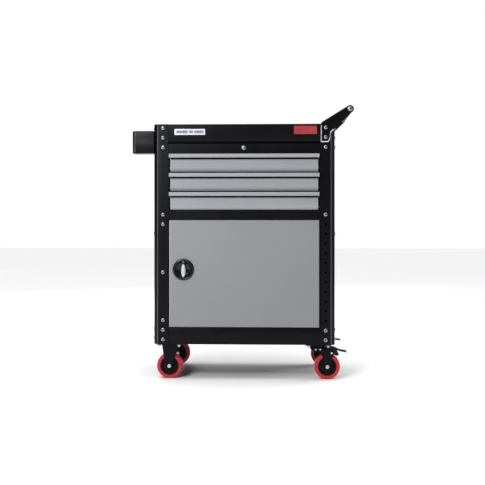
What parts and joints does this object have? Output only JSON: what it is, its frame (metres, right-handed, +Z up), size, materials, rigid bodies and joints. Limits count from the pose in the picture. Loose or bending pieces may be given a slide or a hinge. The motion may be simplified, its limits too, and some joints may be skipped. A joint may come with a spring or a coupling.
{
  "type": "rolling tool chest",
  "caption": "Wheeled steel tool chest: open top tray, lockable drawers over a cabinet with a latched door, side bin, push handle, fixed and braked swivel castors.",
  "frame": {"origin": "on the floor under the wheels, below the middle of the whole chest, handle and bin included", "axes": "+Z up; +X to the right of someone facing the drawers, towards the handle; +Y towards the back"},
  "size_m": [0.8644, 0.4208, 1.0698],
  "materials": {
    "black_paint": "satin powder coat",
    "grey_paint": "satin powder coat",
    "zinc": "bright zinc plate",
    "black_gloss": "gloss",
    "chrome": "polished",
    "red_tread": "smooth polyurethane",
    "black_nylon": "moulded, matt"
  },
  "bodies": {
    "chassis": {"post_front_left": "black_paint", "post_rear_left": "black_paint", "post_front_right": "black_paint", "post_rear_right": "black_paint", "top_tray": "black_paint", "bottom_tray": "black_paint", "wrap_panel": "black_paint", "drawer_case": "black_paint", "case_face": "black_paint", "door_stop": "black_paint", "side_bin": "black_paint", "handle_plate_front": "black_paint", "handle_plate_rear": "black_paint", "handle_tube": "black_paint", "lock_housing": "chrome", "slide_1_left_outer": "zinc", "slide_1_right_outer": "zinc", "slide_2_left_outer": "zinc", "slide_2_right_outer": "zinc", "slide_3_left_outer": "zinc", "slide_3_right_outer": "zinc", "rigid_front_bracket": "black_paint", "rigid_front_axle": "zinc", "swivel_front_plate": "black_paint", "rigid_rear_bracket": "black_paint", "rigid_rear_axle": "zinc", "swivel_rear_plate": "black_paint"},
    "drawer_1": {"drawer_1_front": "grey_paint", "drawer_1_box": "grey_paint", "slide_1_left_inner": "zinc", "slide_1_right_inner": "zinc"},
    "drawer_2": {"drawer_2_front": "grey_paint", "drawer_2_box": "grey_paint", "slide_2_left_inner": "zinc", "slide_2_right_inner": "zinc"},
    "drawer_3": {"drawer_3_front": "grey_paint", "drawer_3_box": "grey_paint", "slide_3_left_inner": "zinc", "slide_3_right_inner": "zinc"},
    "door": {"door_panel": "grey_paint", "latch_dish": "black_gloss"},
    "latch": {"latch_grip": "chrome", "latch_tongue": "zinc"},
    "door_key": {"latch_key_plug": "chrome"},
    "lock_rod": {"lock_rod": "chrome"},
    "lock_bar": {"lock_bar": "zinc"},
    "swivel_front": {"swivel_front_fork": "black_paint", "swivel_front_axle": "zinc"},
    "brake_front": {"swivel_front_brake_pedal": "zinc"},
    "swivel_front_wheel": {"swivel_front_wheel_core": "black_nylon", "swivel_front_wheel_tread": "red_tread"},
    "rigid_front_wheel": {"rigid_front_wheel_core": "black_nylon", "rigid_front_wheel_tread": "red_tread"},
    "swivel_rear": {"swivel_rear_fork": "black_paint", "swivel_rear_axle": "zinc"},
    "brake_rear": {"swivel_rear_brake_pedal": "zinc"},
    "swivel_rear_wheel": {"swivel_rear_wheel_core": "black_nylon", "swivel_rear_wheel_tread": "red_tread"},
    "rigid_rear_wheel": {"rigid_rear_wheel_core": "black_nylon", "rigid_rear_wheel_tread": "red_tread"}
  },
  "joints": [
    {"name": "drawer_1_slide", "type": "slide", "parent": "chassis", "child": "drawer_1", "axis": [0, -1, 0], "range_m": [0, 0.3]},
    {"name": "drawer_2_slide", "type": "slide", "parent": "chassis", "child": "drawer_2", "axis": [0, -1, 0], "range_m": [0, 0.3]},
    {"name": "drawer_3_slide", "type": "slide", "parent": "chassis", "child": "drawer_3", "axis": [0, -1, 0], "range_m": [0, 0.3]},
    {"name": "door_hinge", "type": "hinge", "parent": "chassis", "child": "door", "pos_m": [0.29081, -0.1859, 0.4145], "axis": [0, 0, 1], "range_deg": [0, 105]},
    {"name": "latch_turn", "type": "hinge", "parent": "door", "child": "latch", "pos_m": [-0.23049, -0.1939, 0.4309], "axis": [0, 1, 0], "range_deg": [0, 90]},
    {"name": "door_key_turn", "type": "hinge", "parent": "door", "child": "door_key", "pos_m": [-0.23049, -0.1939, 0.4599], "axis": [0, 1, 0], "range_deg": [0, 90]},
    {"name": "lock_turn", "type": "hinge", "parent": "chassis", "child": "lock_rod", "pos_m": [0.00611, -0.1939, 0.9057], "axis": [0, 1, 0], "range_deg": [0, 90]},
    {"name": "lock_bar_lift", "type": "slide", "parent": "chassis", "child": "lock_bar", "axis": [0, 0, 1], "range_m": [0, 0.0099]},
    {"name": "swivel_front_turn", "type": "hinge", "parent": "chassis", "child": "swivel_front", "pos_m": [0.29511, -0.1459, 0.1185], "axis": [0, 0, 1], "continuous": true},
    {"name": "brake_front_press", "type": "hinge", "parent": "swivel_front", "child": "brake_front", "pos_m": [0.34811, -0.1459, 0.1045], "axis": [0, 1, 0], "range_deg": [0, 12]},
    {"name": "swivel_front_wheel_spin", "type": "hinge", "parent": "swivel_front", "child": "swivel_front_wheel", "pos_m": [0.33111, -0.1459, 0.05], "axis": [0, 1, 0], "continuous": true},
    {"name": "rigid_front_wheel_spin", "type": "hinge", "parent": "chassis", "child": "rigid_front_wheel", "pos_m": [-0.28889, -0.1459, 0.05], "axis": [0, 1, 0], "continuous": true},
    {"name": "swivel_rear_turn", "type": "hinge", "parent": "chassis", "child": "swivel_rear", "pos_m": [0.29511, 0.1581, 0.1185], "axis": [0, 0, 1], "continuous": true},
    {"name": "brake_rear_press", "type": "hinge", "parent": "swivel_rear", "child": "brake_rear", "pos_m": [0.34811, 0.1581, 0.1045], "axis": [0, 1, 0], "range_deg": [0, 12]},
    {"name": "swivel_rear_wheel_spin", "type": "hinge", "parent": "swivel_rear", "child": "swivel_rear_wheel", "pos_m": [0.33111, 0.1581, 0.05], "axis": [0, 1, 0], "continuous": true},
    {"name": "rigid_rear_wheel_spin", "type": "hinge", "parent": "chassis", "child": "rigid_rear_wheel", "pos_m": [-0.28889, 0.1581, 0.05], "axis": [0, 1, 0], "continuous": true}
  ],
  "couplings": [
    {"joint": "lock_turn", "follows": "lock_bar_lift", "rad_per_m": 158.6}
  ]
}
